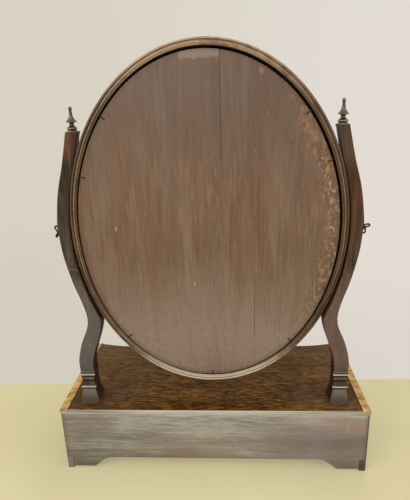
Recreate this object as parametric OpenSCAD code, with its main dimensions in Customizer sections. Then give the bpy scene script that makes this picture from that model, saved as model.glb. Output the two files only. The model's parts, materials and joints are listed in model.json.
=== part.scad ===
// Dressing table mirror: an oval swing glass on two shaped posts, over a serpentine
// box of three small drawers on bracket feet. The glass and the drawers face -Y, +Z is up.

/* [Case] */
// Width of the case across its two sides
case_w = 440; // [425:1:520]
// Depth of the case from its back to its front corners
case_d = 195; // [175:1:240]
// Height from the floor to the upper face of the top
case_h = 102; // [85:1:130]
// Thickness of the top
top_t = 7; // [5:0.5:10]
// How far the top stands past the sides and the front
top_over = 1.2; // [0.5:0.1:4]
// Thickness of the side boards
side_t = 9; // [6:0.5:12]
// Thickness of the back board
back_t = 9; // [6:0.5:12]
// Thickness of the bottom board
bottom_t = 6; // [4:0.5:7]
// Thickness of the partitions between the drawers
partition_t = 7; // [5:0.5:10]
// Thickness of the shaped apron below the drawers
apron_t = 10; // [7:0.5:13]
// Half the height of the wave in the serpentine front
bow = 14; // [4:1:20]
// Distance from the middle to the hollows of the front
hollow_x = 150; // [135:1:175]
// Width of the inlaid crossband along each side of the top
band_w = 12.5; // [8:0.5:15]
// Thickness of the crossband
band_t = 0.9; // [0.6:0.1:2]

/* [Bracket feet] */
// Height of the gap between the feet
foot_h = 19.5; // [12:0.5:24]
// Width of a foot where it stands on the floor
foot_w = 37; // [32:0.5:48]
// Length of the curve from a foot up to the gap
ogee_w = 32; // [16:1:36]
// How far the back board stays off the floor
back_lift = 3.5; // [1:0.5:5]
// Thickness of the glue blocks behind the feet
block_w = 14; // [10:0.5:18]

/* [Drawers] */
// Width of the middle drawer's opening
centre_w = 160; // [120:1:180]
// Running gap beside and above a drawer
drawer_gap = 0.6; // [0.4:0.1:1]
// Running gap below a drawer
run_gap = 0.3; // [0.3:0.1:0.6]
// Least thickness of a drawer front
front_t = 14; // [11:0.5:18]
// Thickness of the drawer sides and backs
lining_t = 6; // [5:0.5:8]
// Thickness of the drawer bottoms
tray_t = 3.5; // [3:0.5:5]
// Height of a drawer bottom above the drawer's lower edge
tray_rise = 4; // [3:0.5:8]
// Depth of the groove that holds a drawer bottom
groove_d = 2.5; // [2:0.5:3.5]
// How much lower the drawer sides are than the front
lining_drop = 5; // [3:0.5:12]
// Space between a drawer and the back board
rear_gap = 6; // [3:0.5:12]
// How far a drawer front is set in from the edge of the case
front_inset = 0.5; // [0:0.1:1.5]

/* [Knobs] */
// Diameter of a knob
knob_d = 14; // [10:0.5:18]
// How far a knob stands out
knob_reach = 16; // [13:0.5:20]
// Diameter of the stem that goes through the drawer front
stem_d = 4; // [3:0.5:5]
// Depth of the flat seat under a knob
seat_d = 0.5; // [0.4:0.1:1]

/* [Posts] */
// Thickness of a post at its foot, from back to front
post_t = 22; // [18:1:28]
// Thickness of a post at its top
post_top_t = 17; // [14:1:22]
// Width of a post at its foot
post_w = 19; // [16:0.5:21]
// Distance from the case's back to a post's back face
post_back = 20; // [16:1:30]
// Height of the plinths under the posts
plinth_h = 51; // [40:1:60]
// How far a plinth runs forward of its post
toe_w = 4.5; // [2:0.5:12]
// Projection of the plinth's foot
flare_w = 3.8; // [1.5:0.1:4.5]
// Height of the post tops above the pivots
post_rise = 129; // [110:1:150]
// Gap between the oval frame and the posts
swing_gap = 1.3; // [1:0.1:3]
// Height of the cap on a post
cap_h = 2.5; // [2:0.5:5]
// Width of the tenon under a post
tenon_w = 10; // [8:0.5:13]
// Depth of the mortise in the top
mortise_d = 5; // [3:0.5:6]
// Clearance around a tenon
tenon_gap = 0.15; // [0.1:0.05:0.4]
// Width of the shoulder in front of and behind a tenon
tenon_shoulder = 5; // [3:0.5:7]

/* [Finials] */
// Height of a finial
finial_h = 30.3; // [24:0.1:40]
// Diameter of a finial's lower disc
finial_d = 13.2; // [10:0.1:14]
// Diameter of the dowel under a finial
dowel_d = 4; // [3:0.5:5]
// Length of the dowel
dowel_l = 8; // [5:1:12]

/* [Oval glass] */
// Distance from a side of the case to the oval's widest point
oval_set = 40; // [35:1:60]
// Height of the oval frame
oval_h = 462; // [420:1:480]
// Height of the pivots above the floor
pivot_z = 360; // [350:1:400]
// How far the oval's centre lies below the pivots
oval_drop = 1; // [0:0.5:4]
// Lean of the glass in its stored position, top towards the back
rest_tilt = 4; // [0:0.5:8]
// Distance from the pivot line to the back of the frame
frame_back = 11; // [9:0.5:12]
// Distance from the pivot line to the front of the frame
frame_front = 12; // [10:0.5:14]
// Width of the frame seen from behind
frame_w = 9.5; // [9:0.5:14]
// Width of the frame seen from the front
sight_w = 16; // [15:0.5:24]
// Thickness of the lip in front of the glass
lip_t = 7; // [5:0.5:8]
// Depth of the moulding steps on the frame
step_d = 0.9; // [0.5:0.1:1.5]
// Thickness of the bead around the glass
bead_t = 2.6; // [1.5:0.1:4]
// Thickness of the glass
glass_t = 3.5; // [3:0.5:5]
// Clearance round the edge of the glass
glass_gap = 0.6; // [0.4:0.1:1.5]
// Depth of the blocks that hold the glass
chock_t = 5; // [3:0.5:6]
// Width of the blocks that hold the glass
chock_w = 5; // [3:0.5:8]
// Number of blocks round the glass
chock_n = 10; // [6:2:16]
// Thickness of the two backboards
board_t = 5.5; // [4:0.5:6]
// Shrinkage gap round the backboards
board_gap = 2; // [1.5:0.1:3]
// Distance of the seam between the backboards from the middle
seam_x = 19; // [0:1:60]
// Opening of the seam
seam_w = 0.4; // [0.4:0.1:2]
// How far the backboards have sunk in their rebate, sideways and down
board_slip = 0.7; // [0:0.1:0.8]
// Diameter of a pin
pin_d = 1.1; // [0.8:0.1:1.6]
// Length of a pin
pin_l = 10; // [7:0.5:14]

/* [Pivots] */
// Diameter of the pivot screws
screw_d = 5; // [4:0.5:6]
// Radial running clearance of the pivot screws
screw_gap = 0.05; // [0.03:0.01:0.1]
// Thickness of the pivot plates
plate_t = 1.4; // [1:0.1:2]
// Height of the pivot plates
plate_h = 30; // [24:1:40]
// Width of the pivot plates
plate_w = 12; // [10:0.5:14]
// Diameter of the threaded boss on a pivot plate
boss_d = 8.4; // [8:0.1:9.5]
// Length of the threaded boss
boss_l = 6; // [4:0.5:6.5]
// Diameter of the washers
washer_d = 13; // [11:0.5:15]
// Thickness of the washers
washer_t = 1; // [0.8:0.1:1.5]
// Diameter of the collar on a pivot screw
collar_d = 9; // [8:0.5:11]
// Length of the collar
collar_l = 2.2; // [1.5:0.1:4]
// Diameter of the wire in the finger loops
wire_d = 2.1; // [1.5:0.1:2.5]
// Length of a finger loop
loop_l = 8.5; // [7:0.5:12]
// Width of a finger loop
loop_w = 6.4; // [5.5:0.1:8]
// Angles between the right screw's loops and its axis
right_tilt = 58; // [45:1:70]
// Angle between the left screw's bent upper loop and its axis
left_tilt = 14; // [10:1:60]
// Turn of the right screw
right_turn = 10; // [0:1:90]
// Turn of the left screw
left_turn = 0; // [0:1:90]

/* [Hidden] */

$fn = 64;
wave_steps = 44;
part_steps = 16;
ogee_steps = 10;
oval_steps = 120;
post_steps = 56;

// Clearances between pieces that are glued or let in, and between turning pieces
seat_gap = 0.3;
bore_gap = 0.1;
turn_gap = 0.3;
// Distance from the oval's widest point to a post's inner edge at its foot
foot_set = 8.4;
// How far the pivot plates and the washers are let in
plate_set = 0.4;
washer_set = 0.6;
// Least width of a post between its two edges
post_least = 11;
// How far the cap stands past the post
cap_over = 0.3;
// Length by which a cut runs past the face that it opens
past = 1;

half_w = case_w / 2;
oval_w = case_w - 2 * oval_set;
inner_x = half_w - side_t;
under_top = case_h - top_t;
floor_z = foot_h + 2;
run_z = floor_z + bottom_t;
part_x0 = centre_w / 2;
part_x1 = part_x0 + partition_t;

// Depth of the serpentine front, measured from the back of the case
function wave(x) = case_d + bow * (cos(180 * x / hollow_x) - cos(180 * half_w / hollow_x));
front_most = wave(0) - front_inset - seat_d + knob_reach;
back_y = front_most / 2;
function at(depth) = back_y - depth;
function front_line(x0, x1, inset, n) =
    [for (i = [0:n]) let (x = x0 + (x1 - x0) * i / n) [x, at(wave(x) - inset)]];

post_y = at(post_back + post_t / 2);
post_rear = at(post_back);
post_foot = case_h + plinth_h;
post_top = pivot_z + post_rise;
oval_z = pivot_z - oval_drop;
half_oval = oval_w / 2;
foot_in = half_oval - foot_set;
foot_out = foot_in + post_w;
rebate_y = lip_t - frame_front;
glass_back = rebate_y + glass_t;
board_front = glass_back + chock_t;
board_back = board_front + board_t;
plate_x = half_oval - plate_set;

wood_dark = [0.25, 0.19, 0.15];
wood_mid = [0.40, 0.30, 0.24];
wood_red = [0.30, 0.18, 0.11];
wood_gold = [0.66, 0.47, 0.24];
wood_pale = [0.62, 0.50, 0.36];
brass = [0.55, 0.42, 0.22];

// Half the width of the oval at a height measured from its centre
function oval_reach(z) = abs(z) < oval_h / 2 ? half_oval * sqrt(1 - pow(2 * z / oval_h, 2)) : 0;
// Point of the oval at an angle, moved in from the edge by inset
function oval_point(t, inset) =
    let (a = half_oval, b = oval_h / 2, l = sqrt(pow(b * cos(t), 2) + pow(a * sin(t), 2)))
    [(a - inset * b / l) * cos(t), (b - inset * a / l) * sin(t) - oval_drop];
function oval(inset) = [for (i = [0:oval_steps - 1]) oval_point(360 * i / oval_steps, inset)];

// Smooth curve through knots [t, value]
function knot_slope(k, i) =
    let (lo = max(i - 1, 0), hi = min(i + 1, len(k) - 1)) (k[hi][1] - k[lo][1]) / (k[hi][0] - k[lo][0]);
function smooth(k, t) =
    let (i = max([for (j = [0:len(k) - 2]) if (k[j][0] <= t) j]),
         h = k[i + 1][0] - k[i][0],
         s = (t - k[i][0]) / h)
    k[i][1] * (1 + 2 * s) * pow(1 - s, 2) + k[i + 1][1] * s * s * (3 - 2 * s)
    + h * s * (1 - s) * (knot_slope(k, i) * (1 - s) - knot_slope(k, i + 1) * s);

// Outer edge of a post: 0 is its foot, 1 the pivot, 2 its top; the value is counted from
// the oval's half width
outer_knots = [[0, foot_out - half_oval], [0.085, 10.9], [0.215, 4.2], [0.34, -6.6], [0.415, -8.2],
    [0.505, -4.4], [0.665, 6], [0.855, 14.4], [1, 17], [1.09, 17.4], [1.41, 11.4], [1.69, 1.6],
    [2, -7.6]];
// Inner edge of a post: its waist, then its upper end, counted from the oval's half width
waist_0 = 0.033;
waist_t = 0.393;
waist_in = -26.6;
top_in = -20.8;
top_slope = 25;
shoulder_in = -9.5;
function post_height(t) =
    t < 1 ? post_foot + (pivot_z - post_foot) * t : pivot_z + post_rise * (t - 1);
function ease(s) = let (c = min(max(s, 0), 1)) c * c * (3 - 2 * c);
function post_own_inner(t) =
    t < 1 ? foot_in + (half_oval + waist_in - foot_in) * ease((t - waist_0) / (waist_t - waist_0))
    : half_oval + min(top_in + top_slope * (2 - t), shoulder_in);
function post_inner(t) =
    max(post_own_inner(t), oval_reach(post_height(t) - oval_z) + swing_gap);
function post_outer(t) = max(half_oval + smooth(outer_knots, t), post_inner(t) + post_least);
outer_face = post_outer(1) - washer_set;
collar_x = outer_face + washer_t + turn_gap;

// A solid with its outline in the XZ plane, from y0 to y1
module slab(y0, y1) {
    translate([0, y1, 0]) rotate([90, 0, 0]) linear_extrude(y1 - y0) children();
}

// A solid with its outline in the YZ plane, from x0 to x1
module cross_slab(x0, x1) {
    translate([x0, 0, 0]) rotate([90, 0, 90]) linear_extrude(x1 - x0) children();
}

// A block from the depth v0 forward to the serpentine front
module plan(x0, x1, v0, inset, z0, z1, n) {
    translate([0, 0, z0]) linear_extrude(z1 - z0)
        polygon(concat([[x1, at(v0)], [x0, at(v0)]], front_line(x0, x1, inset, n)));
}

// A strip of even depth that follows the serpentine front
module front_strip(x0, x1, depth, z0, z1) {
    translate([0, 0, z0]) linear_extrude(z1 - z0)
        polygon(concat(front_line(x0, x1, 0, wave_steps), front_line(x1, x0, depth, wave_steps)));
}

module box(x0, x1, y0, y1, z0, z1) {
    translate([x0, y0, z0]) cube([x1 - x0, y1 - y0, z1 - z0]);
}

module rod(x0, x1, d) {
    translate([x0, 0, 0]) rotate([0, 90, 0]) cylinder(h = x1 - x0, d = d);
}

// The open space between two feet, from s0 to s1, as an outline
module foot_gap(s0, s1) {
    a = s0 + foot_w;
    b = s1 - foot_w;
    rise = [for (i = [0:ogee_steps]) [ogee_w * i / ogee_steps, foot_h * pow(sin(90 * i / ogee_steps), 1.2)]];
    polygon(concat([[a, -past]],
        [for (p = rise) [a + p[0], p[1]]],
        [for (i = [ogee_steps:-1:0]) [b - rise[i][0], rise[i][1]]],
        [[b, -past]]));
}

module to_pivot() {
    translate([0, post_y, pivot_z]) children();
}

module to_glass() {
    to_pivot() rotate([-rest_tilt, 0, 0]) children();
}

// The tenon under a post, from z0 to z1, or with a gap its mortise
module tenon(gap, z0, z1) {
    mid = (foot_in + foot_out) / 2;
    half = tenon_w / 2 + gap;
    deep = post_t / 2 - tenon_shoulder + gap;
    box(mid - half, mid + half, post_y - deep, post_y + deep, z0, z1);
}

module case_top() {
    color(wood_red) difference() {
        plan(-half_w - top_over, half_w + top_over, 0, -top_over, under_top, case_h, wave_steps);
        for (side = [0, 1]) mirror([side, 0, 0]) {
            box(half_w + top_over - band_w, half_w + top_over + past, at(case_d + 3 * bow), at(-past),
                case_h - band_t, case_h + past);
            tenon(tenon_gap, case_h - mortise_d, case_h + past);
        }
    }
}

module crossband() {
    x1 = half_w + top_over;
    plan(x1 - band_w, x1, 0, -top_over, case_h - band_t, case_h, 4);
}

module side_board() {
    difference() {
        union() {
            plan(inner_x, half_w, back_t, 0, 0, under_top, 2);
            box(inner_x, half_w, at(back_t + past), at(0), 0, foot_h - seat_gap);
        }
        cross_slab(inner_x - past, half_w + past) foot_gap(at(wave(half_w)), at(0));
    }
}

module case_back() {
    color(wood_mid) difference() {
        box(-half_w, half_w, at(back_t), at(0), back_lift, under_top);
        slab(at(back_t + past), at(-past)) foot_gap(-half_w, half_w);
        for (side = [0, 1]) mirror([side, 0, 0])
            box(inner_x - seat_gap, half_w + past, at(back_t + past), at(-past), 0, foot_h);
    }
}

module case_bottom() {
    color(wood_pale) plan(-inner_x, inner_x, back_t, apron_t, floor_z, run_z, wave_steps);
}

module partition() {
    plan(part_x0, part_x1, back_t, 0, run_z, under_top, 2);
}

module front_apron() {
    color(wood_red) difference() {
        front_strip(-inner_x, inner_x, apron_t, 0, run_z);
        slab(at(case_d + 3 * bow), at(0)) foot_gap(-half_w, half_w);
    }
}

module glue_blocks() {
    front_v = min(wave(inner_x), wave(inner_x - block_w)) - apron_t - seat_gap;
    color(wood_pale) for (side = [0, 1]) mirror([side, 0, 0]) {
        box(inner_x - block_w, inner_x, at(back_t + block_w), at(back_t), back_lift, floor_z);
        box(inner_x - block_w, inner_x, at(front_v), at(front_v - block_w), back_lift, floor_z);
    }
}

// Projection of the plinth's mouldings at a height above the top of the case
flare_z = 2;
cove_z = 22;
bead_z = 26;
neck_z = plinth_h - 5;
bead_r = 1.8;
plinth_steps = 6;
function bead_line(z, out) = [[z - bead_r, 0], [z - bead_r / 2, out], [z + bead_r / 2, out], [z + bead_r, 0]];
plinth_line = concat([[0, flare_w]],
    [for (i = [0:plinth_steps]) [flare_z + (cove_z - flare_z) * i / plinth_steps,
        flare_w * pow(1 - i / plinth_steps, 1.4)]],
    bead_line(bead_z, 0.9), bead_line(neck_z, 1.1), [[plinth_h - 1.6, 0.4], [plinth_h, 0.4]]);
function toe(z) = toe_w * pow(1 - z / plinth_h, 1.5);

module plinth() {
    n = len(plinth_line) - 1;
    back = post_y + post_t / 2;
    front = post_y - post_t / 2;
    difference() {
        intersection() {
            slab(front - toe_w - flare_w - past, back + flare_w + past) translate([0, case_h])
                polygon(concat([for (p = plinth_line) [foot_out + p[1], p[0]]],
                    [for (i = [n:-1:0]) [foot_in - plinth_line[i][1], plinth_line[i][0]]]));
            cross_slab(foot_in - flare_w - past, foot_out + flare_w + past) translate([0, case_h])
                polygon(concat([for (p = plinth_line) [back + p[1], p[0]]],
                    [for (i = [n:-1:0]) let (p = plinth_line[i]) [front - p[1] - toe(p[0]), p[0]]]));
        }
        tenon(tenon_gap, case_h - past, post_foot + past);
    }
}

module post() {
    ts = [for (i = [0:post_steps]) 2 * i / post_steps];
    front = post_y - post_t / 2;
    difference() {
        union() {
            intersection() {
                slab(front, post_rear)
                    polygon(concat([for (t = ts) [post_outer(t), post_height(t)]],
                        [for (i = [post_steps:-1:0]) [post_inner(ts[i]), post_height(ts[i])]]));
                cross_slab(0, case_w) polygon([[front, post_foot], [post_rear, post_foot],
                    [post_rear, post_top], [post_rear - post_top_t, post_top]]);
            }
            box(post_inner(2) - cap_over, post_outer(2) + cap_over, post_rear - post_top_t - cap_over,
                post_rear + cap_over, post_top - cap_h, post_top);
            tenon(0, case_h - mortise_d + seat_gap, post_foot + past);
        }
        to_pivot() rod(half_oval, outer_face + past, screw_d + 2 * screw_gap);
        to_pivot() rod(outer_face, outer_face + 2 * washer_d, washer_d + 2 * seat_gap);
        translate([finial_x, finial_y, post_top - dowel_l - seat_gap])
            cylinder(h = dowel_l + seat_gap + past, d = dowel_d + 2 * bore_gap);
    }
}

// A turned finial: the knots are height and radius as shares of its full size
finial_x = (post_inner(2) + post_outer(2)) / 2;
finial_y = post_rear - post_top_t / 2;
finial_knots = [[0, 0.86], [0.06, 0.86], [0.085, 0.74], [0.11, 0.92], [0.13, 1], [0.15, 0.92],
    [0.19, 0.7], [0.24, 0.5], [0.29, 0.42], [0.33, 0.46], [0.37, 0.78], [0.4, 0.95],
    [0.415, 0.93], [0.45, 0.74], [0.52, 0.5], [0.6, 0.36], [0.7, 0.27], [0.8, 0.23], [0.845, 0.24]];
module finial() {
    ball_r = 0.076 * finial_h;
    ball_z = finial_h - ball_r;
    translate([finial_x, finial_y, post_top]) rotate_extrude()
        polygon(concat([[0, -dowel_l], [dowel_d / 2, -dowel_l], [dowel_d / 2, 0]],
            [for (k = finial_knots) [k[1] * finial_d / 2, k[0] * finial_h]],
            [for (a = [-40:20:80]) [ball_r * cos(a), ball_z + ball_r * sin(a)]],
            [[0, finial_h]]));
}

module washer() {
    to_pivot() difference() {
        rod(outer_face, outer_face + washer_t, washer_d);
        rod(outer_face - past, outer_face + washer_t + past, screw_d + 2 * turn_gap);
    }
}

// Length of the hub on a screw's collar, and where the finger loops leave it
hub_l = 2.5;
loop_x = 0.6;
loop_z = 0.8;

// How far each loop is turned round its own length
right_loops = [[right_tilt, 50], [-right_tilt, 50]];
left_loops = [[left_tilt, 65], [-86, 10]];

// A U of round wire that starts on the screw's axis and closes on it
module finger_loop() {
    r = (loop_w - wire_d) / 2;
    straight = loop_l - r - wire_d / 2;
    for (side = [-1, 1]) translate([0, 0, side * r]) rod(0, straight, wire_d);
    translate([straight, 0, 0]) rotate([90, 0, 0]) rotate_extrude(angle = 180, start = -90)
        translate([r, 0]) circle(d = wire_d);
}

module thumb_screw(turn, loops) {
    hub_x = collar_x + collar_l;
    color(brass) to_pivot() rotate([turn, 0, 0]) {
        rod(plate_x - plate_t - boss_l + 1, collar_x + 0.5, screw_d);
        rod(collar_x, hub_x, collar_d);
        translate([hub_x - 0.5, 0, 0]) rotate([0, 90, 0])
            cylinder(h = hub_l, d1 = collar_d - 1.5, d2 = 2.3 * wire_d);
        for (loop = loops) translate([hub_x + loop_x, 0, sign(loop[0]) * loop_z])
            rotate([0, -loop[0], 0]) rotate([loop[1], 0, 0]) finger_loop();
    }
}

// A flat oval ring between two insets
module ring(outer, inner) {
    difference() {
        polygon(oval(outer));
        polygon(oval(inner));
    }
}

module mirror_frame() {
    color(wood_mid) to_glass() difference() {
        union() {
            slab(rebate_y, frame_back - step_d) ring(0, frame_w);
            slab(frame_back - step_d, frame_back) ring(0.6, 0.36 * frame_w);
            slab(frame_back - step_d, frame_back - step_d / 2) ring(0.46 * frame_w, frame_w);
            slab(step_d - frame_front, rebate_y) ring(0, sight_w);
            slab(-frame_front, step_d - frame_front) ring(1.5, sight_w - 4);
        }
        for (side = [0, 1]) mirror([side, 0, 0]) {
            box(plate_x - plate_t, half_oval + past, -plate_w / 2 - bore_gap, plate_w / 2 + bore_gap,
                -plate_h / 2 - bore_gap, plate_h / 2 + bore_gap);
            rod(plate_x - plate_t - boss_l - seat_gap, half_oval, boss_d + 2 * bore_gap);
        }
        pins(pin_d + 2 * bore_gap);
    }
}

module sight_bead() {
    color(wood_gold) to_glass() {
        slab(step_d - frame_front - bead_t / 2, step_d - frame_front) ring(sight_w - 3.6, sight_w);
        slab(step_d - frame_front - bead_t, step_d - frame_front - bead_t / 2)
            ring(sight_w - 2.9, sight_w - 0.7);
    }
}

module glass_plate() {
    color([0.75, 0.78, 0.80]) to_glass() slab(rebate_y, glass_back) polygon(oval(frame_w + glass_gap));
}

// Half the part of a full turn that one block round the glass takes up, in degrees
chock_turn = 3;
module glass_blocks() {
    color(wood_pale) to_glass() for (i = [0:chock_n - 1]) {
        t = 360 * (i + 0.5) / chock_n;
        intersection() {
            slab(glass_back, board_front) ring(frame_w, frame_w + chock_w);
            slab(glass_back - past, board_front + past) polygon([oval_point(t - chock_turn, 0),
                oval_point(t + chock_turn, 0), oval_point(t + chock_turn, 2 * frame_w),
                oval_point(t - chock_turn, 2 * frame_w)]);
        }
    }
}

module backboard(x0, x1) {
    to_glass() intersection() {
        slab(board_front, board_back) translate([board_slip, -board_slip]) polygon(oval(frame_w + board_gap));
        box(x0, x1, board_front - past, board_back + past, -oval_h, oval_h);
    }
}

// Places of the pins round the oval, and the depth to which they are driven into the frame
pin_turns = [20, 42, 138, 156, 202, 228, 270, 315];
pin_in = 2;
module pins(d) {
    for (t = pin_turns) {
        from = oval_point(t, frame_w - pin_in);
        to = oval_point(t, frame_w - pin_in + pin_l);
        way = to - from;
        translate([from[0], board_back + pin_d / 2, from[1]]) rotate([0, 90 - atan2(way[1], way[0]), 0])
            cylinder(h = pin_l, d = d, $fn = 24);
    }
}

module backboard_pins() {
    color([0.25, 0.22, 0.20]) to_glass() pins(pin_d);
}

module pivot_plate() {
    to_glass() difference() {
        union() {
            box(plate_x - plate_t, plate_x, -plate_w / 2, plate_w / 2, -plate_h / 2, plate_h / 2);
            rod(plate_x - plate_t - boss_l, plate_x - plate_t / 2, boss_d);
        }
        rod(plate_x - plate_t - boss_l - past, plate_x + past, screw_d + 2 * screw_gap);
    }
}

drawer_z0 = run_z + run_gap;
drawer_z1 = under_top - drawer_gap;
lining_z1 = drawer_z1 - lining_drop;
tray_z0 = drawer_z0 + tray_rise;
drawer_rear = back_t + rear_gap;
centre_rest = min(wave(0), wave(part_x0)) - front_t - front_inset;
side_rest = min(wave(part_x1), wave(inner_x), wave(hollow_x)) - front_t - front_inset;

module drawer_front(x0, x1, rest) {
    mid = (x0 + x1) / 2;
    seat = wave(mid) - front_inset - seat_d;
    color(wood_red) difference() {
        plan(x0 + drawer_gap, x1 - drawer_gap, rest, front_inset, drawer_z0, drawer_z1, part_steps);
        translate([mid, at(seat), (drawer_z0 + drawer_z1) / 2]) rotate([90, 0, 0])
            cylinder(h = 3 * bow, d = knob_d + 2 * seat_gap);
        translate([mid, at(rest - past), (drawer_z0 + drawer_z1) / 2]) rotate([90, 0, 0])
            cylinder(h = case_d, d = stem_d + 2 * bore_gap);
        box(x0 + drawer_gap + lining_t - groove_d, x1 - drawer_gap - lining_t + groove_d,
            at(rest + groove_d), at(rest - past), tray_z0, tray_z0 + tray_t);
    }
}

module drawer_side(x0, x1, groove_x0, groove_x1, rest) {
    color(wood_pale) difference() {
        box(x0, x1, at(rest), at(drawer_rear), drawer_z0, lining_z1);
        box(groove_x0, groove_x1, at(rest + past), at(drawer_rear - past), tray_z0, tray_z0 + tray_t);
    }
}

module drawer_left_side(x0, rest) {
    a = x0 + drawer_gap;
    drawer_side(a, a + lining_t, a + lining_t - groove_d, a + lining_t + past, rest);
}

module drawer_right_side(x1, rest) {
    b = x1 - drawer_gap;
    drawer_side(b - lining_t, b, b - lining_t - past, b - lining_t + groove_d, rest);
}

module drawer_back(x0, x1) {
    color(wood_pale) box(x0 + drawer_gap + lining_t, x1 - drawer_gap - lining_t,
        at(drawer_rear + lining_t), at(drawer_rear), tray_z0 + tray_t, lining_z1);
}

module drawer_bottom(x0, x1, rest) {
    inset = drawer_gap + lining_t - groove_d + bore_gap;
    color(wood_pale) box(x0 + inset, x1 - inset, at(rest + groove_d - bore_gap), at(drawer_rear),
        tray_z0, tray_z0 + tray_t);
}

stem_l = front_t - 2;

// A turned knob: the knots are distance from the seat and radius, as shares
knob_knots = [[0, 1], [0.06, 1], [0.1, 0.9], [0.13, 0.55], [0.2, 0.42], [0.34, 0.36], [0.42, 0.44],
    [0.5, 0.72], [0.56, 0.9], [0.65, 1], [0.74, 1], [0.84, 0.9], [0.93, 0.66], [0.98, 0.4], [1, 0.2]];
module knob(x0, x1) {
    mid = (x0 + x1) / 2;
    seat = wave(mid) - front_inset - seat_d;
    color(brass) translate([mid, at(seat), (drawer_z0 + drawer_z1) / 2]) rotate([90, 0, 0])
        rotate_extrude() polygon(concat([[0, -stem_l], [stem_d / 2, -stem_l], [stem_d / 2, 0]],
            [for (k = knob_knots) [k[1] * knob_d / 2, k[0] * knob_reach]], [[0, knob_reach]]));
}

case_top();
color(wood_gold) mirror([1, 0, 0]) crossband();  // left_crossband
color(wood_gold) crossband();  // right_crossband
color(wood_red) mirror([1, 0, 0]) side_board();  // left_side
color(wood_red) side_board();  // right_side
case_back();
case_bottom();
color(wood_mid) mirror([1, 0, 0]) partition();  // left_partition
color(wood_mid) partition();  // right_partition
front_apron();
glue_blocks();
color(wood_dark) mirror([1, 0, 0]) plinth();  // left_plinth
color(wood_dark) plinth();  // right_plinth
color(wood_dark) mirror([1, 0, 0]) post();  // left_post
color(wood_dark) post();  // right_post
color(wood_dark) mirror([1, 0, 0]) finial();  // left_finial
color(wood_dark) finial();  // right_finial
color(brass) mirror([1, 0, 0]) washer();  // left_washer
color(brass) washer();  // right_washer
mirror([1, 0, 0]) thumb_screw(left_turn, left_loops);  // left_thumb_screw
thumb_screw(right_turn, right_loops);  // right_thumb_screw
mirror_frame();
sight_bead();
glass_plate();
glass_blocks();
color(wood_mid) backboard(seam_w / 2 - seam_x, oval_w);  // backboard_wide
color(wood_mid) backboard(-oval_w, -seam_w / 2 - seam_x);  // backboard_narrow
backboard_pins();
color(brass) mirror([1, 0, 0]) pivot_plate();  // left_pivot_plate
color(brass) pivot_plate();  // right_pivot_plate
drawer_front(-inner_x, -part_x1, side_rest);  // left_drawer_front
drawer_right_side(-part_x1, side_rest);  // left_drawer_inner_side
drawer_left_side(-inner_x, side_rest);  // left_drawer_outer_side
drawer_back(-inner_x, -part_x1);  // left_drawer_back
drawer_bottom(-inner_x, -part_x1, side_rest);  // left_drawer_bottom
knob(-inner_x, -part_x1);  // left_knob
drawer_front(-part_x0, part_x0, centre_rest);  // centre_drawer_front
drawer_left_side(-part_x0, centre_rest);  // centre_drawer_left_side
drawer_right_side(part_x0, centre_rest);  // centre_drawer_right_side
drawer_back(-part_x0, part_x0);  // centre_drawer_back
drawer_bottom(-part_x0, part_x0, centre_rest);  // centre_drawer_bottom
knob(-part_x0, part_x0);  // centre_knob
drawer_front(part_x1, inner_x, side_rest);  // right_drawer_front
drawer_left_side(part_x1, side_rest);  // right_drawer_inner_side
drawer_right_side(inner_x, side_rest);  // right_drawer_outer_side
drawer_back(part_x1, inner_x);  // right_drawer_back
drawer_bottom(part_x1, inner_x, side_rest);  // right_drawer_bottom
knob(part_x1, inner_x);  // right_knob
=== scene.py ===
import json
import math

import bpy
from mathutils import Matrix, Vector


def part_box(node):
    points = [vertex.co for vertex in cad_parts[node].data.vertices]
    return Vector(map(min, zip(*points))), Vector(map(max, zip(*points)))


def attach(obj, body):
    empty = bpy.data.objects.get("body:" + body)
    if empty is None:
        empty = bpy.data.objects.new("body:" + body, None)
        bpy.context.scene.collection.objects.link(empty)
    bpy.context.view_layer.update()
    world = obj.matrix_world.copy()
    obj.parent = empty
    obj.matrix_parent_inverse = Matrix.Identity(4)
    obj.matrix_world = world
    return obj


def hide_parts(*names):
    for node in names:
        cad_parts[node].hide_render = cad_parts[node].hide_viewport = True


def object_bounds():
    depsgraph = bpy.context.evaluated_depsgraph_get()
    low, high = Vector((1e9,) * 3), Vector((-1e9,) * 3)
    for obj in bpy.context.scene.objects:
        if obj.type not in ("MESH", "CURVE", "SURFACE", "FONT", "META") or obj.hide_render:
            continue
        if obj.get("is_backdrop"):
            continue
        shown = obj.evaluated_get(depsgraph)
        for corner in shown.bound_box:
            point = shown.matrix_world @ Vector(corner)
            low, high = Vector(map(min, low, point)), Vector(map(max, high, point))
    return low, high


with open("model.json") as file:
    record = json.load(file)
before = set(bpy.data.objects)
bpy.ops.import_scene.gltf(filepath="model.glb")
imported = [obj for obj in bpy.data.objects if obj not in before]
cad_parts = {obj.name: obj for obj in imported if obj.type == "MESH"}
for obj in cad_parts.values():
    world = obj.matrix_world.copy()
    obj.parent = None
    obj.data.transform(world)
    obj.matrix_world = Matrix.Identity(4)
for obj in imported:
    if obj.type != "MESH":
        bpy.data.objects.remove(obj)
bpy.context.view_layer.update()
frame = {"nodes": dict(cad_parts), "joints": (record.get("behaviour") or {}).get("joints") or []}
nodes = frame["nodes"]
mm = 0.001
print("frame loaded:", len(nodes), "nodes")

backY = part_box("case_back")[1].y  # the case's back face
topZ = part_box("case_top")[1].z
tilt = next(j for j in frame["joints"] if j["name"] == "mirror_tilt")
pivot = Vector(tilt["pos_m"])
lean = math.radians(-4)  # the glass at rest, top towards the back
finialHeight = 30.3 * mm
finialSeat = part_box("left_finial")[1].z - finialHeight

# the oval's middle lies a little below the pivots
oval = {"halfWidth": 180 * mm, "halfHeight": 231 * mm, "drop": 1 * mm, "sides": 168}


# camera and lights

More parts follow.
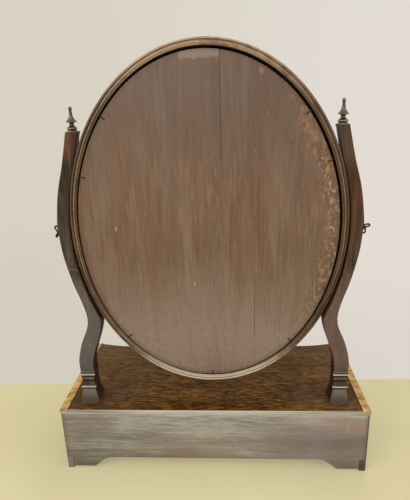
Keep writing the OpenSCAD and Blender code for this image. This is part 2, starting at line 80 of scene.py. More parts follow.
shot = {  # angles in degrees
    "place": (-0.0290, backY + 0.5532, 0.5152),
    "turn": -3.37,
    "pitch": 17.44,
    "roll": 1.80,
    "lens": 33.12,
    "sensor": 36,
}
lamps = {
    "keyLamp": {
        "place": (1.3, 1.35, 1.5), "aim": (0, 0.05, 0.3), "size": 1.3, "power": 19,
        "colour": (1, 0.985, 0.96), "mirrored": True,
    },
    "fillLamp": {
        "place": (-1.5, 0.9, 1.1), "aim": (0, 0.05, 0.3), "size": 1.4, "power": 7,
        "colour": (1, 0.99, 0.97), "mirrored": True,
    },
    "frontLamp": {  # it would stand in the glass as a white disc
        "place": (-0.6, -1.6, 1.3), "aim": (0, 0, 0.3), "size": 1.4, "power": 15,
        "colour": (1, 1, 1), "mirrored": False,
    },
}


def addCamera():
    turn, pitch, roll = (math.radians(shot[k]) for k in ("turn", "pitch", "roll"))
    level = Vector((-math.cos(turn), math.sin(turn), 0))
    reach = math.cos(pitch)
    ahead = Vector((-math.sin(turn) * reach, -math.cos(turn) * reach, -math.sin(pitch)))
    down = ahead.cross(level)
    side = level * math.cos(roll) + down * math.sin(roll)
    under = down * math.cos(roll) - level * math.sin(roll)
    data = bpy.data.cameras.new("photoCamera")
    data.sensor_width = shot["sensor"]
    data.lens = shot["lens"]
    camera = bpy.data.objects.new("photoCamera", data)
    bpy.context.scene.collection.objects.link(camera)
    facing = Matrix((side, -under, -ahead)).transposed().to_4x4()
    camera.matrix_world = Matrix.Translation(shot["place"]) @ facing
    bpy.context.scene.camera = camera


def addLamp(name, look):
    data = bpy.data.lights.new(name, "AREA")
    data.shape = "DISK"
    data.size = look["size"]
    data.energy = look["power"]
    data.color = look["colour"]
    lamp = bpy.data.objects.new(name, data)
    lamp.visible_glossy = look["mirrored"]
    bpy.context.scene.collection.objects.link(lamp)
    place = Vector(look["place"])
    facing = (Vector(look["aim"]) - place).to_track_quat("-Z", "Y")
    lamp.matrix_world = Matrix.Translation(place) @ facing.to_matrix().to_4x4()


addCamera()
for name, look in lamps.items():
    addLamp(name, look)
bpy.context.scene.view_settings.view_transform = "Standard"


# shader tools; tints are red, green and blue as seen on screen, from 0 to 255

def tint(*screen):
    linear = [v / 255 / 12.92 if v < 10 else ((v / 255 + 0.055) / 1.055) ** 2.4 for v in screen]
    return (*linear, 1)


def total(parts):
    return sum(parts[1:], parts[0])


class Link:  # a shader socket that takes part in sums
    def __init__(self, shades, socket):
        self.shades = shades
        self.socket = socket

    def math(self, operation, other, swapped=False):
        first, second = (other, self) if swapped else (self, other)
        settings = {"operation": operation}
        return self.shades.node("ShaderNodeMath", settings, {0: first, 1: second})

    def __add__(self, other):
        return self.math("ADD", other)

    __radd__ = __add__

    def __sub__(self, other):
        return self.math("SUBTRACT", other)

    def __rsub__(self, other):
        return self.math("SUBTRACT", other, True)

    def __mul__(self, other):
        return self.math("MULTIPLY", other)

    __rmul__ = __mul__

    def __truediv__(self, other):
        return self.math("DIVIDE", other)

    def __pow__(self, other):
        return self.math("POWER", other)

    def __abs__(self):
        return self.math("ABSOLUTE", 0)


class Shades:  # the nodes of a material or of the world
    def __init__(self, tree):
        self.tree = tree

    def fill(self, made, inputs):  # gives a node's sockets their values or links
        for key, value in inputs.items():
            if isinstance(value, Link):
                self.tree.links.new(value.socket, made.inputs[key])
            else:
                made.inputs[key].default_value = value

    def node(self, kind, settings, inputs, output=0):
        made = self.tree.nodes.new(kind)
        for key, value in settings.items():
            if key == "stops":
                ramp = made.color_ramp
                while len(ramp.elements) < len(value):
                    ramp.elements.new(0.5)
                for element, (position, colour) in zip(ramp.elements, value):
                    element.position = position
                    element.color = tint(*colour)
            else:
                setattr(made, key, value)
        self.fill(made, inputs)
        return Link(self, made.outputs[output])

    def seen(self):  # 1 for what the camera sees, in the glass or through it too
        camera, glossy, through = (
            self.node("ShaderNodeLightPath", {}, {}, f"Is {kind} Ray")
            for kind in ("Camera", "Glossy", "Transmission")
        )
        return camera.math("MAXIMUM", glossy).math("MAXIMUM", through)


class Finish(Shades):  # a material
    def __init__(self, name):
        self.material = bpy.data.materials.new(name)
        self.material.use_nodes = True
        super().__init__(self.material.node_tree)
        self.shader = self.tree.nodes["Principled BSDF"]
        self.place = self.node("ShaderNodeTexCoord", {}, {}, "Object")
        self.x, self.y, self.z = (
            self.node("ShaderNodeSeparateXYZ", {}, {0: self.place}, i) for i in range(3)
        )

    def scaled(self, vector, factors):
        settings = {"operation": "MULTIPLY"}
        return self.node("ShaderNodeVectorMath", settings, {0: vector, 1: factors})

    def noise(self, vector, size, detail, roughness=0.5, output=0):
        values = {"Vector": vector, "Scale": size, "Detail": detail, "Roughness": roughness}
        return self.node("ShaderNodeTexNoise", {}, values, output)

    def drawn(self, factors, detail, roughness=0.5, place=None):  # noise drawn out along X, Y and Z
        place = self.place if place is None else place
        return self.noise(self.scaled(place, factors), 1, detail, roughness)

    def drifted(self, vector, size, amount):  # a vector that wanders, so that no grain is straight
        wander = self.noise(vector, size, 1, 0.5, 1)
        values = {0: wander, 1: (amount, amount, amount), 2: vector}
        return self.node("ShaderNodeVectorMath", {"operation": "MULTIPLY_ADD"}, values)

    def ease(self, value, low, high):  # 0 below low, 1 above high
        values = {"Value": value, "From Min": low, "From Max": high}
        return self.node("ShaderNodeMapRange", {"interpolation_type": "SMOOTHSTEP"}, values)

    def band(self, value, low, high, soft):  # 1 between low and high
        rise = self.ease(value, low - soft, low + soft)
        return rise * (1 - self.ease(value, high - soft, high + soft))

    def bands(self, value, rows):  # a sum of bands: low, high, softness and, if not 1, share
        parts = []
        for low, high, soft, *share in rows:
            part = self.band(value, low, high, soft)
            parts.append(part * share[0] if share else part)
        return total(parts)

    def ramp(self, value, *stops):  # stops are a position and a tint
        return self.node("ShaderNodeValToRGB", {"stops": stops}, {0: value})

    def mix(self, share, first, second):
        colours = [tint(*c) if isinstance(c, tuple) else c for c in (first, second)]
        settings = {"data_type": "RGBA", "blend_type": "MIX"}
        return self.node("ShaderNodeMix", settings, {0: share, 6: colours[0], 7: colours[1]}, 2)

    def coats(self, colour, *layers):  # lays coats over a colour in turn, each with its share
        for share, coat in layers:
            colour = self.mix(share, colour, coat)
        return colour

    def spot(self, centre, reach, soft=0.4):  # an oval patch across X and Z
        across = (self.x - centre[0]) / reach[0]
        up = (self.z - centre[1]) / reach[1]
        return 1 - self.ease(across * across + up * up, 1 - soft, 1 + soft)

    def stroke(self, start, end, width):  # a thin line between two points of X and Z
        run = (end[0] - start[0], end[1] - start[1])
        length = math.hypot(*run)
        way = (run[0] / length, run[1] / length)
        dx, dz = self.x - start[0], self.z - start[1]
        along = dx * way[0] + dz * way[1]
        off = abs(dx * way[1] - dz * way[0])
        inside = self.ease(along, 0, width) * (1 - self.ease(along, length - width, length))
        return inside * (1 - self.ease(off, width * 0.3, width))

    def marks(self, look):  # small rubbed spots and scratches
        spots = [self.spot(*row) for row in look["spots"]]
        return total(spots + [self.stroke(*row) for row in look["strokes"]])

    def ovalPlace(self):  # turn round the oval and distance in from its edge, in mm
        wide, high = oval["halfWidth"], oval["halfHeight"]
        across, up = self.x, self.z - pivot.z + oval["drop"]
        turn = self.node("ShaderNodeMath", {"operation": "ARCTAN2"}, {0: across, 1: up})
        radius = ((across / wide) ** 2 + (up / high) ** 2) ** 0.5
        slope = ((across / wide ** 2) ** 2 + (up / high ** 2) ** 2) ** 0.5
        return turn, (1 - radius) * radius / slope * 1000

    def bumps(self, height, strength, depth):
        values = {"Strength": strength, "Distance": depth, "Height": height}
        return self.node("ShaderNodeBump", {}, values)

    def finishWith(self, colour, roughness, normal=None, shine=0.5, **others):
        inputs = {"Base Color": colour, "Roughness": roughness, "Specular IOR Level": shine}
        inputs.update({key.replace("_", " "): value for key, value in others.items()})
        if normal is not None:
            inputs["Normal"] = normal
        self.fill(self.shader, inputs)
        return self.material


def alongRun(run, along, across):
    return tuple(along if axis == run else across for axis in "xyz")


woodGrain = {"broad": 3, "fibre": (16, 430), "pore": (70, 1300), "poreCut": (0.6, 0.72)}


def woodLayers(finish, look):  # broad figure, fine fibre and open pores
    run, bent = look["run"], finish.drifted(finish.place, look["waves"], look["drift"])
    broad = finish.drawn(alongRun(run, woodGrain["broad"], look["figure"]), 3, 0.5, bent)
    fibre = finish.drawn(alongRun(run, *woodGrain["fibre"]), 3, 0.6, bent)
    pore = finish.drawn(alongRun(run, *woodGrain["pore"]), 1, 0.5, bent)
    return broad, fibre, finish.ease(pore, *woodGrain["poreCut"])


def woodColour(finish, look):
    broad, fibre, pore = woodLayers(finish, look)
    tone = broad * 0.62 + fibre * 0.38
    colour = finish.ramp(tone, (0.33, look["dark"]), (0.5, look["mid"]), (0.68, look["light"]))
    colour = finish.mix(pore * look["pores"], colour, look["poreTint"])
    return colour, fibre, finish.bumps(fibre * 0.5 - pore * 0.5, look["relief"], 0.4 * mm)


def paintWood(name, look):
    finish = Finish(name)
    colour, fibre, normal = woodColour(finish, look)
    cloud = finish.noise(finish.place, 9, 3)
    roughness = look["rough"] + (fibre - 0.5) * 0.12 + (cloud - 0.5) * 0.22
    return finish.finishWith(colour, roughness, normal, look["shine"])


mahoganyLook = {
    "run": "x", "waves": 6, "drift": 0.02, "figure": 26, "rough": 0.34, "relief": 0.25,
    "dark": (52, 30, 16), "mid": (84, 54, 30), "light": (116, 78, 48),
    "pores": 0.5, "poreTint": (34, 20, 12), "shine": 0.35,
}
liningLook = {
    "run": "y", "waves": 5, "drift": 0.014, "figure": 40, "rough": 0.62, "relief": 0.35,
    "dark": (140, 108, 74), "mid": (168, 136, 98), "light": (190, 160, 120),
    "pores": 0.4, "poreTint": (96, 70, 46), "shine": 0.25,
}
boxwoodLook = {
    "run": "z", "waves": 8, "drift": 0.006, "figure": 50, "rough": 0.4, "relief": 0.2,
    "dark": (160, 124, 70), "mid": (188, 152, 94), "light": (206, 172, 116),
    "pores": 0.2, "poreTint": (120, 88, 50), "shine": 0.5,
}


postLook = {
    "run": "z", "waves": 5, "drift": 0.012, "figure": 55, "back": backY - 20 * mm,
    # heights above the case's top in mm: low, high, softness and share
    "hollows": ((22.6, 24, 0.3), (33.6, 37.4, 1.2), (41.6, 44, 0.5), (47.9, 49, 0.2)),
    "beadHighlights": ((24.9, 27.1, 0.3), (45, 47, 0.3), (49.7, 50.6, 0.2, 0.5), (38.4, 40.4, 0.6, 0.15)),
    "scratch": ((0.172, 0.3075), (0.189, 0.3105), 0.7 * mm),
}


def paintPosts():
    finish = Finish("darkPolishedPost")
    broad, fibre, pore = woodLayers(finish, postLook)
    tone = broad * 0.55 + fibre * 0.45
    # deep: the dark stain of the sides, darkened further as painted shade; faded: the greyed polish
    # of the back face
    deep = finish.ramp(tone, (0.34, (34, 20, 8)), (0.5, (50, 32, 16)), (0.66, (72, 48, 26)))
    faded = finish.ramp(tone, (0.36, (44, 34, 28)), (0.5, (74, 61, 51)), (0.62, (112, 97, 86)))
    onBack = 1 - finish.ease(postLook["back"] - finish.y, 0.0004, 0.0022)
    patches = finish.noise(finish.scaled(finish.place, (1, 1, 0.35)), 46, 3, 0.6)
    # lighter patches on the back face: rubbed polish, and painted reflections of its gloss
    rubbedAndSheen = finish.ease(patches, 0.54, 0.68)
    right = finish.ease(finish.x, 0, 0.01)
    left = 1 - right

    # painted highlight: a lighter grey band across the waist of each post's back face
    lower = finish.band(finish.z, 0.15, 0.285, 0.03)
    waistHighlight = finish.mix(right, (124, 100, 94), (114, 110, 110))
    clouds = finish.noise(finish.scaled(finish.place, (1, 1, 0.3)), 90, 2)
    bare = 0.55 + 0.45 * finish.ease(clouds, 0.4, 0.6)
    warm = right * finish.ease(finish.z, 0.45, 0.472)
    warm = warm + left * finish.band(finish.z, 0.355, 0.455, 0.03) * 0.7
    shadowy = right * finish.band(finish.z, 0.32, 0.455, 0.012)
    shadowy = shadowy + left * finish.band(finish.z, 0.42, 0.44, 0.01) * 0.4

    height = (finish.z - topZ) * 1000
    foot = finish.ease(height, 22.6, 21.6)
    footTint = finish.mix(finish.ease(height, 4, 20), (92, 76, 62), (118, 112, 104))
    # painted shade in the hollows between the beads and under them
    hollows = finish.bands(height, postLook["hollows"])
    # painted highlights along the beads and along the bottom arris of the back face
    beadHighlights = finish.bands(height, postLook["beadHighlights"]) + finish.ease(height, 1, 0.5) * 0.45

    colour = finish.coats(
        finish.mix(onBack, deep, faded),
        (finish.ease(patches, 0.5, 0.34) * onBack * 0.55, (48, 36, 28)),
        (lower * onBack * 0.65, waistHighlight),
        (warm * bare * onBack * 0.8, (104, 62, 34)),
        (left * finish.ease(finish.z, 0.42, 0.46) * onBack * 0.35, (118, 98, 82)),
        (shadowy * onBack * 0.5, (46, 34, 28)),
        (rubbedAndSheen * onBack * 0.4, (122, 108, 92)),
        (foot * onBack, footTint),
        (hollows * 0.8, (34, 26, 22)),
        (beadHighlights * onBack * 0.85, (212, 208, 203)),
        (finish.stroke(*postLook["scratch"]) * onBack * 0.6, (150, 134, 112)),
        (pore * 0.4, (30, 20, 13)),
    )
    roughness = 0.58 - onBack * 0.22 + (broad - 0.5) * 0.2 + rubbedAndSheen * 0.1
    normal = finish.bumps(fibre - pore * 0.5, 0.2, 0.4 * mm)
    return finish.finishWith(colour, roughness, normal, 0.14)


finialLook = {  # heights above the seat in mm: low, high, softness and share
    "rims": ((3.3, 4.7, 0.4), (11.8, 12.4, 0.4), (0.1, 1, 0.2), (14, 19, 2, 0.4)),
    "hollows": ((7.4, 10, 0.6), (1.5, 2.9, 0.2)),
}


def paintFinials():
    finish = Finish("finialsWithPaintedHighlights")
    cloud = finish.noise(finish.scaled(finish.place, (1, 1, 0.5)), 150, 3, 0.6)
    height = (finish.z - finialSeat) * 1000
    # painted highlights on the rims, in the middle of the skirt and at the tip
    rims = finish.bands(height, finialLook["rims"]) + finish.ease(height, 27, 29)
    colour = finish.coats(
        finish.ramp(cloud, (0.34, (40, 26, 20)), (0.5, (66, 45, 37)), (0.66, (98, 74, 62))),
        (rims * 0.6, (176, 160, 144)),
        # painted shade in the finial's hollows
        (finish.bands(height, finialLook["hollows"]) * 0.6, (34, 24, 20)),
    )
    roughness = 0.24 + (cloud - 0.5) * 0.2
    return finish.finishWith(colour, roughness, finish.bumps(cloud, 0.1, 0.3 * mm), 0.7)


def paintSides():
    look = {**mahoganyLook, "run": "y"}
    finish = Finish("polishedMahoganySide")
    colour, fibre, normal = woodColour(finish, look)
    streak = finish.drawn((500, 60, 60), 3, 0.7)
    endGrain = finish.coats(
        finish.mix(finish.ease(finish.x, -0.01, 0.01), (74, 58, 47), (130, 121, 108)),
        (finish.ease(streak, 0.5, 0.62) * 0.5, (148, 136, 120)),
    )
    colour = finish.mix(finish.ease(backY - finish.y, 0.9 * mm, 0.3 * mm), colour, endGrain)
    roughness = 0.36 + (fibre - 0.5) * 0.12
    return finish.finishWith(colour, roughness, normal, look["shine"])


drawerLine = {"inset": 4 * mm, "width": 1.2 * mm, "soft": 0.1 * mm, "tint": (196, 160, 102)}


def insideFront(finish, node, inset):  # 1 where a drawer front is further in than the inset
    low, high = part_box(node)
    left = low.x if low.x > 0 else -1  # the middle front runs on past X = 0
    soft = drawerLine["soft"]
    across = finish.band(abs(finish.x), left + inset, high.x - inset, soft)
    return across * finish.band(finish.z, low.z + inset, high.z - inset, soft)


def paintDrawerFronts():  # flamed veneer with a boxwood line let in round each drawer
    finish = Finish("flamedMahoganyFronts")
    look = {**mahoganyLook, "waves": 9, "drift": 0.05, "figure": 18}
    broad, fibre, pore = woodLayers(finish, look)
    flame = finish.drawn((22, 10, 46), 4, 0.6, finish.drifted(finish.place, 11, 0.03))
    tone = flame * 0.5 + broad * 0.25 + fibre * 0.25
    stops = (0.38, (58, 30, 16)), (0.48, (94, 54, 30)), (0.56, (124, 76, 44)), (0.66, (150, 98, 60))
    near, far = drawerLine["inset"], drawerLine["inset"] + drawerLine["width"]
    lines = total([
        insideFront(finish, node, near) - insideFront(finish, node, far)
        for node in ("centre_drawer_front", "right_drawer_front")
    ])
    colour = finish.coats(
        finish.ramp(tone, *stops),
        (pore * 0.4, look["poreTint"]),
        (lines * 0.85, drawerLine["tint"]),
    )
    roughness = 0.3 + (fibre - 0.5) * 0.12 + (flame - 0.5) * 0.2
    normal = finish.bumps(fibre * 0.5 - pore * 0.5, 0.2, 0.4 * mm)
    return finish.finishWith(colour, roughness, normal, 0.4)


def paintCrossband():
    finish = Finish("satinwoodBand")
    bent = finish.drifted(finish.place, 9, 0.02)
    broad = finish.drawn((70, 80, 60), 4, 0.65, bent)
    fibre = finish.drawn((30, 600, 400), 3, 0.6, bent)
    fleck = finish.drawn((500, 900, 400), 2)
    stops = (
        (0.38, (142, 107, 63)), (0.46, (188, 150, 90)),
        (0.54, (214, 177, 113)), (0.66, (226, 197, 142)),
    )
    colour = finish.coats(
        finish.ramp(broad * 0.75 + fibre * 0.25, *stops),
        (finish.ease(fleck, 0.6, 0.68) * 0.6, (84, 56, 28)),
        # painted shade: the band darkens towards its front end
        (finish.ease(finish.y, 0.03, -0.07) * 0.25, (128, 100, 70)),
    )
    roughness = 0.4 + (fibre - 0.5) * 0.1
    return finish.finishWith(colour, roughness, finish.bumps(fibre, 0.2, 0.3 * mm), 0.12)


def paintWornEdge(name, pale, dark):  # rubbed arrises, where the polish has gone
    finish = Finish(name)
    patchy = finish.ease(finish.noise(finish.place, 45, 4), 0.36, 0.62)
    return finish.finishWith(finish.mix(patchy, dark, pale), 0.5 + patchy * 0.15)


caseBackLook = {
    "run": "x", "waves": 7, "drift": 0.02, "figure": 62,
    "spots": (  # centre and reach, across X and Z
        ((-0.0055, 0.0566), (0.0011, 0.0034)), ((-0.0115, 0.0566), (0.0006, 0.0018)),
    ),
    "strokes": (  # start, end and width
        ((-0.1933, 0.0858), (-0.1896, 0.0752), 0.7 * mm),
        ((-0.1896, 0.0752), (-0.1925, 0.0668), 0.7 * mm),
        ((-0.0150, 0.0370), (-0.0260, 0.0420), 0.5 * mm),
    ),
}


def paintCaseBack():
    finish = Finish("wornCaseBack")
    broad, fibre, pore = woodLayers(finish, caseBackLook)
    tone = broad * 0.55 + fibre * 0.45
    stops = (0.36, (122, 117, 108)), (0.5, (153, 149, 140)), (0.62, (178, 174, 166))
    streak = finish.drawn((7, 7, 300), 4, 0.7)
    mottle = finish.drawn((45, 45, 130), 4, 0.7, finish.drifted(finish.place, 30, 0.01))
    scuffs = finish.drawn((26, 20, 420), 3, 0.7, finish.drifted(finish.place, 20, 0.004))
    brown = finish.ease(finish.drawn((9, 9, 26), 3), 0.5, 0.64)

    scuffed = finish.ease(scuffs, 0.58, 0.68) * finish.ease(finish.z, 0.04, 0.085)
    sheen =finish.spot((0.02, 0.088), (0.13, 0.03), 0.9) * finish.ease(scuffs, 0.36, 0.6)
    dull = finish.ease(finish.z + (streak - 0.5) * 0.03, 0.05, 0.02)
    dull = dull + finish.ease(finish.x, 0.11, 0.19) * 0.6
    pinkish = finish.spot((-0.16, 0.04), (0.08, 0.04), 0.9)
    pinkish = pinkish + finish.spot((0.19, 0.078), (0.045, 0.02), 0.9)
    scrubbed = finish.spot((0.01, 0.042), (0.1, 0.02), 0.9) * finish.ease(scuffs, 0.34, 0.56)
    cool = finish.ease(finish.x, -0.06, -0.16)
    height = finish.z + (streak - 0.5) * 0.02
    corner = finish.spot((-0.188, 0.08), (0.034, 0.016), 0.9) * finish.ease(mottle, 0.4, 0.56)
    reddish = finish.spot((0.05, 0.03), (0.03, 0.007), 0.8)
    reddish = reddish + finish.spot((-0.12, 0.07), (0.05, 0.01), 0.9)
    # painted highlight along the top edge of the back, brightest from the middle towards the -X end
    topEdgeHighlight = finish.ease(finish.z + (streak - 0.5) * 0.016, 0.0905, 0.0965)
    topEdgeHighlightTint = finish.mix(finish.ease(finish.x, 0.04, 0.09), (212, 208, 196), (172, 164, 148))
    # painted shadow: the back darkens at the bottom of its feet
    foot = finish.ease(finish.z, 0.018, 0.004) * finish.ease(abs(finish.x), 0.15, 0.19)

    colour = finish.coats(
        finish.ramp(tone, *stops),
        (finish.ease(streak, 0.54, 0.74) * 0.3, (186, 180, 168)),
        (finish.ease(streak, 0.46, 0.3) * 0.3, (100, 90, 80)),
        (finish.ease(mottle, 0.5, 0.62) * 0.35, (118, 110, 104)),
        (finish.ease(mottle, 0.48, 0.36) * 0.3, (184, 178, 168)),
        (brown * 0.4, (124, 108, 96)),
        (scuffed * 0.6, (204, 200, 192)),
        (sheen * 0.55, (190, 186, 178)),
        (dull * finish.ease(streak, 0.62, 0.4) * 0.5, (104, 96, 84)),
        (pinkish * 0.45, (126, 104, 96)),
        (scrubbed * 0.4, (176, 158, 144)),
        (cool * 0.28, (166, 160, 172)),
        # painted sheen: the upper part of the -X end is lighter
        (cool * finish.ease(height, 0.072, 0.082) * 0.4, (186, 176, 166)),
        (cool * finish.band(height, 0.036, 0.06, 0.01) * 0.4, (106, 100, 98)),
        (finish.ease(finish.x, -0.15, -0.185) * 0.3, (118, 98, 86)),
        (corner * 0.5, (172, 134, 112)),
        (reddish * 0.25, (146, 112, 90)),
        (topEdgeHighlight * 0.62, topEdgeHighlightTint),
        # painted shade: thin darker lines at both ends of the back, where it meets the sides
        (finish.ease(abs(finish.x), 0.2105, 0.221) * 0.45, (92, 78, 66)),
        (finish.ease(finish.x, -0.2165, -0.2185) * 0.6, (80, 72, 58)),
        (foot * 0.5, (104, 92, 78)),
        (finish.marks(caseBackLook) * 0.7, (192, 184, 170)),
        (pore * 0.3, (84, 72, 60)),
    )
    roughness = 0.42 + (streak - 0.5) * 0.3 + brown * 0.1
    normal = finish.bumps(streak * 0.6 + fibre * 0.4 - pore * 0.4, 0.3, 0.6 * mm)
    return finish.finishWith(colour, roughness, normal, 0.4)


boardLook = {
    "run": "z", "waves": 4, "drift": 0.02, "figure": 42,
    "spots": (((0.1202, 0.3649), (0.0009, 0.0036)), ((0.0207, 0.285), (0.0008, 0.003))),
    "strokes": (),
    "scratches": (  # ends of thin golden scratches, X and Z
        ((0.0932, 0.313), (0.0963, 0.261)), ((0.0326, 0.375), (0.0325, 0.338)),
        ((-0.0508, 0.387), (-0.0521, 0.354)), ((-0.0401, 0.394), (-0.0405, 0.363)),
        ((-0.062, 0.36), (-0.0625, 0.3)),
    ),
    "cracks": (  # start, end, width and share of the dark lines
        ((-0.0602, 0.198), (-0.0607, 0.302), 0.8 * mm, 0.6),
        ((0.118, 0.548), (0.1, 0.40), 0.8 * mm, 0.3),
    ),
}


def paintBackboards():
    finish = Finish("drySoftwoodBoards")
    broad, fibre, pore = woodLayers(finish, boardLook)
    ribbon = finish.drawn((210, 40, 14), 5, 0.7, finish.drifted(finish.place, 5, 0.01))
    fine = finish.drawn((620, 60, 22), 3, 0.6, finish.drifted(finish.place, 4, 0.006))
    tone = broad * 0.25 + fibre * 0.25 + ribbon * 0.25 + fine * 0.25
    stops = (0.36, (98, 74, 60)), (0.5, (125, 98, 81)), (0.64, (152, 124, 104))

    height = finish.z + (finish.noise(finish.place, 7, 2) - 0.5) * 0.1
    grey = finish.ease(height, 0.4, 0.54)
    pale = finish.ease(height, 0.34, 0.17)
    columns = finish.drawn((42, 10, 3.5), 4, 0.65, finish.drifted(finish.place, 6, 0.008))
    speckle = finish.drawn((300, 200, 130), 3, 0.7)
    streak = finish.drawn((330, 40, 9), 3, 0.65)
    orange = finish.ease(finish.drawn((55, 20, 9), 2), 0.5, 0.62)
    orange = orange * finish.spot((0.0, 0.35), (0.1, 0.12), 0.7) * finish.ease(streak, 0.45, 0.62)
    ragged = (finish.noise(finish.place, 160, 4, 0.7) - 0.5) * 0.012
    patch = finish.band(finish.x + ragged, -0.0185, 0.027, 0.001)
    patch = patch * finish.ease(finish.z + ragged, 0.5655, 0.5685)
    besideSeam = finish.band(finish.x, -0.0188, 0.03, 0.012) * finish.ease(finish.z, 0.46, 0.56)

    inset = finish.ovalPlace()[1]
    worn = finish.ease(inset + (finish.noise(finish.place, 40, 2) - 0.5) * 16, 38, 20)
    worn = worn * finish.ease(finish.x, -0.09, -0.12) * finish.ease(finish.z, 0.21, 0.27)
    worn = worn * (1 - finish.ease(finish.z, 0.45, 0.5) * 0.6)
    flakes = finish.drawn((260, 200, 120), 3, 0.7)
    glints = finish.drawn((520, 300, 150), 2, 0.6)
    rosy = finish.spot((-0.128, 0.503), (0.016, 0.028), 0.8) * finish.ease(flakes, 0.42, 0.56)
    flecks = finish.drawn((420, 300, 90), 1)
    scratches = total([finish.stroke(*ends, 0.6 * mm) for ends in boardLook["scratches"]])
    knot = finish.spot((-0.0665, 0.5514), (0.0024, 0.0036), 0.8)
    cracks = total([finish.stroke(*line) * share for *line, share in boardLook["cracks"]])

    colour = finish.coats(
        finish.ramp(tone, *stops),
        (grey * 0.75, (108, 88, 77)),
        (pale * 0.75, (166, 147, 137)),
        (finish.ease(columns, 0.52, 0.64) * (0.4 - pale * 0.2), (122, 88, 66)),
        (finish.ease(columns, 0.48, 0.38) * 0.3, (134, 119, 111)),
        (finish.ease(speckle, 0.56, 0.68) * pale * 0.35, (98, 78, 64)),
        (finish.ease(speckle, 0.44, 0.34) * pale * 0.25, (186, 168, 150)),
        (orange * 0.2, (150, 108, 76)),
        (finish.ease(streak, 0.6, 0.75) * 0.25, (158, 134, 114)),
        (patch * 0.8, (160, 144, 136)),
        (besideSeam * 0.3, (128, 110, 100)),
        (worn * 0.5, (108, 80, 60)),
        (worn * finish.ease(flakes, 0.54, 0.59) * 0.75, (182, 144, 104)),
        (worn * finish.ease(glints, 0.6, 0.66) * 0.7, (218, 184, 142)),
        (rosy * 0.6, (164, 118, 98)),
        (finish.ease(inset, 20, 11) * 0.4, (90, 69, 55)),
        (finish.ease(flecks, 0.76, 0.8) * 0.4, (184, 164, 142)),
        (finish.marks(boardLook) * 0.8, (206, 186, 160)),
        (scratches * finish.ease(streak, 0.4, 0.55) * 0.5, (186, 146, 102)),
        (knot * 0.6, (176, 124, 90)),
        (cracks, (76, 58, 48)),
        (pore * 0.3, (82, 64, 52)),
    )
    roughness = 0.52 + (broad - 0.5) * 0.2
    normal = finish.bumps(fibre * 0.5 + streak * 0.5 - cracks - pore * 0.4, 0.35, 0.6 * mm)
    return finish.finishWith(colour, roughness, normal, 0.4)


def paintFrame():
    finish = Finish("wornMouldedFrame")
    turn, inset = finish.ovalPlace()
    axes = {0: turn * 0.2, 1: finish.y, 2: inset * 0.001}
    curved = finish.node("ShaderNodeCombineXYZ", {}, axes)
    fibre = finish.drawn((24, 420, 420), 3, 0.6, curved)
    tone = finish.drawn((12, 60, 60), 3, 0.5, curved) * 0.6 + fibre * 0.4
    stops = (0.34, (70, 50, 36)), (0.5, (108, 82, 60)), (0.66, (150, 118, 88))

    golden = finish.ease(finish.z, 0.5, 0.585)
    tan = finish.ease(finish.z, 0.2, 0.135)
    red = finish.ease(finish.drawn((20, 300, 300), 2, 0.5, curved), 0.52, 0.62)
    red = red * finish.ease(abs(finish.x), 0.13, 0.165)
    flank = finish.ease(abs(finish.x), 0.1, 0.165)
    dirt = finish.ease(finish.noise(curved, 60, 3), 0.52, 0.68)
    broken = finish.ease(finish.drawn((220, 600, 600), 3, 0.7, curved), 0.4, 0.6)

    # on the left from the front: greenish inner bead, golden line of painted highlight, dark red
    # rim
    left = finish.ease(finish.x, -0.04, -0.12)
    goldHighlightLine = left * finish.band(inset, 4.4, 6, 0.5)
    goldHighlightLine = goldHighlightLine * (0.1 + 0.9 * finish.band(finish.z, 0.29, 0.46, 0.05))
    # a paler line of painted highlight on the right
    rightHighlightLine = finish.ease(finish.x, 0.04, 0.12) * finish.band(inset, 4.9, 6.4, 0.5)
    # painted shade in the moulding's two grooves
    grooveShade = finish.band(inset, 3.3, 4.3, 0.25) + finish.band(inset, 7, 7.8, 0.25) * 0.6
    # painted shade from the rebate's wall inwards; the outer edge is darker too
    rim = finish.ease(inset, 1.2, 0.5) * 0.6 + finish.ease(inset, 9.1, 9.5)

    colour = finish.coats(
        finish.ramp(tone, *stops),
        (golden * 0.75, (204, 174, 144)),
        (tan * 0.9, (224, 206, 178)),
        (red * 0.5, (104, 58, 50)),
        (flank * 0.4, (66, 46, 32)),
        (dirt * (0.45 - tan * 0.3), (58, 42, 32)),
        (left * finish.band(inset, 7.8, 9.4, 0.3) * 0.7, (88, 80, 60)),
        (goldHighlightLine * (0.3 + broken * 0.5), (186, 138, 88)),
        (left * finish.ease(inset, 3.2, 1.4) * 0.5, (78, 44, 32)),
        (rightHighlightLine * (0.1 + broken * 0.5), (184, 160, 130)),
        (grooveShade * 0.85, (36, 26, 20)),
        (rim, (44, 32, 24)),
    )
    roughness = 0.36 + (fibre - 0.5) * 0.2 + dirt * 0.1
    return finish.finishWith(colour, roughness, finish.bumps(fibre, 0.25, 0.5 * mm))


